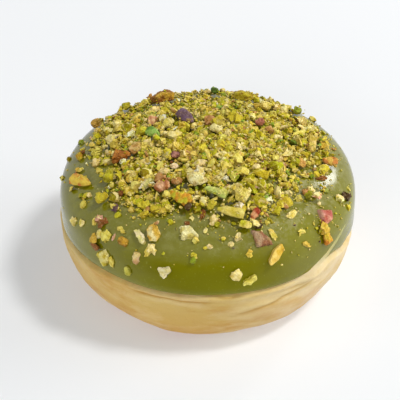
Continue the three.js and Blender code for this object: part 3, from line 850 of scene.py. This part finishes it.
# Bits that lie apart on the bare glaze at the front and the sides, fewer towards the lip.
LOOSE_MIX = (("pale", 15), ("cream", 11), ("yellow", 7), ("dark", 4), ("brown", 3), ("plum", 3),
             ("golden", 3), ("pink", 2), ("tan", 2), ("olive", 1))
loose_tints = [name for name, count in LOOSE_MIX for _ in range(count)]
for _ in range(48):
    bearing = math.radians(chance.uniform(182, 348))
    arc = float(heap_end(bearing)) + 2 + 16 * chance.random() ** 1.4
    length = chance.uniform(1.3, 3.2)
    width = length * chance.uniform(0.4, 0.85)
    heading = chance.uniform(0, 180)
    tint = chance.choice(loose_tints)
    point, along, to_crown, up = frame_on_round(bearing, arc)
    thick = 0.55 * width
    rest = settle(bearing, arc, width, thick, 0.25)
    matrix = Matrix.Translation((point + up * (rest + 0.4 * thick)) * MM) \
        @ Matrix((along, to_crown, up)).transposed().to_4x4() \
        @ Matrix.Rotation(math.radians(heading), 4, "Z") \
        @ Matrix.Diagonal((length * MM * 0.9, width * MM, thick * 1.2 * MM, 1))
    other = NUT_TINTS["cream" if tint in ("tan", "pink") else tint]
    shape = chance.choice(lumps)
    flesh_colour = colour_near(NUT_TINTS[tint], 0.08)
    skin_colour = colour_near(other, 0.08)
    # Faces turned up and towards the back take the second colour: cream on tan and pink bits.
    upturned_side = Vector((0.3, 0.5, 0.8))
    coarse.add(shape, matrix, up, flesh_colour, skin_colour, upturned_side, cell_at(bearing, arc))

crumbs = coarse.finish("chopped_crumbs", flesh)
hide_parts("crumb_bed")
small_crumbs = small.finish("small_crumbs", flesh)

# ---------------------------------------------------------------------------
# The grit: powder and tiny splinters of nut from the chopping, which settled
# over the heap and the larger pieces and thins out over the bare glaze.
# ---------------------------------------------------------------------------
GRIT_MIX = (("cream", 36), ("pale", 38), ("yellow", 10), ("lime", 8), ("olive", 4), ("tan", 2),
            ("plum", 1))
grit_tints = [name for name, count in GRIT_MIX for _ in range(count)]
for _ in range(9500):
    bearing, arc = anywhere(GRIT_STREWN)
    past = arc - float(heap_end(bearing))
    front_right = math.exp(-(angle_between(bearing, math.radians(322)) / 0.5) ** 2)
    thinning = float(loose_spread(bearing)) * (0.75 + 0.7 * front_right)
    if past > 0 and chance.random() > (0.6 + 0.3 * front_right) * math.exp(-past / thinning):
        continue
    if past < -1 and chance.random() < 0.55:
        continue
    if taken[cell_at(bearing, arc)] and chance.random() < 0.8:
        continue
    size = chance.choice((0.35, 0.4, 0.45, 0.5, 0.6, 0.7)) * (1.0 if past < 1 else 0.8)
    shape = chance.choice(grit_bag)
    tint = chance.choice(grit_tints)
    lay_crumb(fine, shape, bearing, arc, size, 0.15, 0.2, tint)

grit = fine.finish("nut_grit", flesh)

# ---------------------------------------------------------------------------
# The studio: a plain pale table, a softbox high at the right, wide sheets in
# front and at the right, a weak fill from the left and a small window behind.
# ---------------------------------------------------------------------------


def pale_table():
    bm = bmesh.new()
    bmesh.ops.create_grid(bm, x_segments=1, y_segments=1, size=3.0)
    mesh = bpy.data.meshes.new("pale_table")
    bm.to_mesh(mesh)
    bm.free()
    table = bpy.data.objects.new("pale_table", mesh)
    bpy.context.scene.collection.objects.link(table)
    material = bpy.data.materials.new("pale_table")
    n = Nodes(material)
    shade = n.grey(n.cloud(3, 2), (0.3, 0.60), (0.7, 0.61))
    n.surface(Base_Color=shade, Roughness=0.8, Specular_IOR_Level=0.0,
              Emission_Color=(1.0, 1.0, 1.0, 1), Emission_Strength=0.295)
    mesh.materials.append(material)
    table.visible_glossy = False


pale_table()


def soft_light(name, place, aim, size, power):
    light = bpy.data.lights.new(name, "AREA")
    light.shape = "RECTANGLE"
    light.size, light.size_y = size
    light.energy = power
    lamp = bpy.data.objects.new(name, light)
    bpy.context.scene.collection.objects.link(lamp)
    lamp.location = place
    lamp.rotation_euler = (Vector(aim) - Vector(place)).to_track_quat("-Z", "Y").to_euler()
    return lamp


MIDDLE = (0, 0, WIDEST_HEIGHT * MM)


def towards(azimuth, elevation, distance):
    """A place seen from the doughnut at an azimuth (0 right, 90 behind) and an elevation, in degrees."""
    a, e = math.radians(azimuth), math.radians(elevation)
    level = distance * math.cos(e)
    return (level * math.cos(a), level * math.sin(a), distance * math.sin(e))


high = soft_light("high_softbox", towards(352, 60, 2.54), MIDDLE, (0.42, 0.42), 34.0)
high.visible_glossy = False
front = soft_light("front_sheet", towards(258, 25, 4.2), MIDDLE, (2.4, 1.2), 52.0)
front.visible_glossy = False
right_side = soft_light("right_sheet", towards(6, 17, 4.2), MIDDLE, (2.4, 1.3), 96.0)
right_side.visible_glossy = False
left_fill = soft_light("left_fill", towards(200, 14, 3.0), MIDDLE, (1.2, 0.7), 17.0)
left_fill.visible_glossy = False
for lamp in (front, right_side, left_fill):
    lamp.data.color = (0.96, 0.98, 1.0)
soft_light("window_softbox", towards(47, 31, 0.8), MIDDLE, (0.13, 0.20), 0.9)

# The room: matt surfaces are lit from all round, most from the front right. What the gloss mirrors
# is bright at the sides and overhead, and dark on the camera's side, where a black flag stands.
FRONT_RIGHT = (0.62, -0.66, 0.42)
world = bpy.data.worlds.new("studio")
bpy.context.scene.world = world
w = Nodes(world)
sight = w.add("ShaderNodeTexCoord").outputs["Generated"]
flag_side = w.feed(w.add("ShaderNodeVectorMath", operation="DOT_PRODUCT"), Vector=sight)
flag_side.inputs[1].default_value = (0, -0.99, -0.14)
flag = w.grey(flag_side.outputs["Value"], (0.40, 0.85), (0.86, 0.0))
mirrored = w.add("ShaderNodeBackground")
w.feed(mirrored, Color=w.blend(1.0, flag, (0.96, 0.98, 1.0), "MULTIPLY"), Strength=1.0)
facing = w.add("ShaderNodeVectorMath", operation="DOT_PRODUCT")
w.feed(facing, Vector=sight)
facing.inputs[1].default_value = FRONT_RIGHT
level = w.grey(facing.outputs["Value"], (0.0, 0.7), (0.95, 1.0))
ambient = w.add("ShaderNodeBackground")
w.feed(ambient, Color=w.blend(1.0, level, (0.84, 0.93, 1.0), "MULTIPLY"), Strength=0.30)
mixed = w.add("ShaderNodeMixShader")
w.feed(mixed, Fac=w.add("ShaderNodeLightPath").outputs["Is Glossy Ray"])
w.tree.links.new(ambient.outputs[0], mixed.inputs[1])
w.tree.links.new(mirrored.outputs[0], mixed.inputs[2])
w.tree.links.new(mixed.outputs[0], w.add("ShaderNodeOutputWorld").inputs["Surface"])

# The camera looks down at the doughnut from the front, with a long lens.
CAMERA_ELEVATION = math.radians(37)
CAMERA_DISTANCE = 9 * WIDEST_RADIUS * MM
camera_data = bpy.data.cameras.new("camera")
camera_data.lens = 118.3
camera_data.sensor_width = 36
camera_data.shift_x = -0.019
camera_data.shift_y = -0.0142
camera = bpy.data.objects.new("camera", camera_data)
bpy.context.scene.collection.objects.link(camera)
away = Vector((0, -math.cos(CAMERA_ELEVATION), math.sin(CAMERA_ELEVATION)))
camera.location = Vector(MIDDLE) + away * CAMERA_DISTANCE
camera.rotation_euler = (-away).to_track_quat("-Z", "Y").to_euler()
bpy.context.scene.camera = camera
bpy.context.scene.view_settings.view_transform = "Standard"
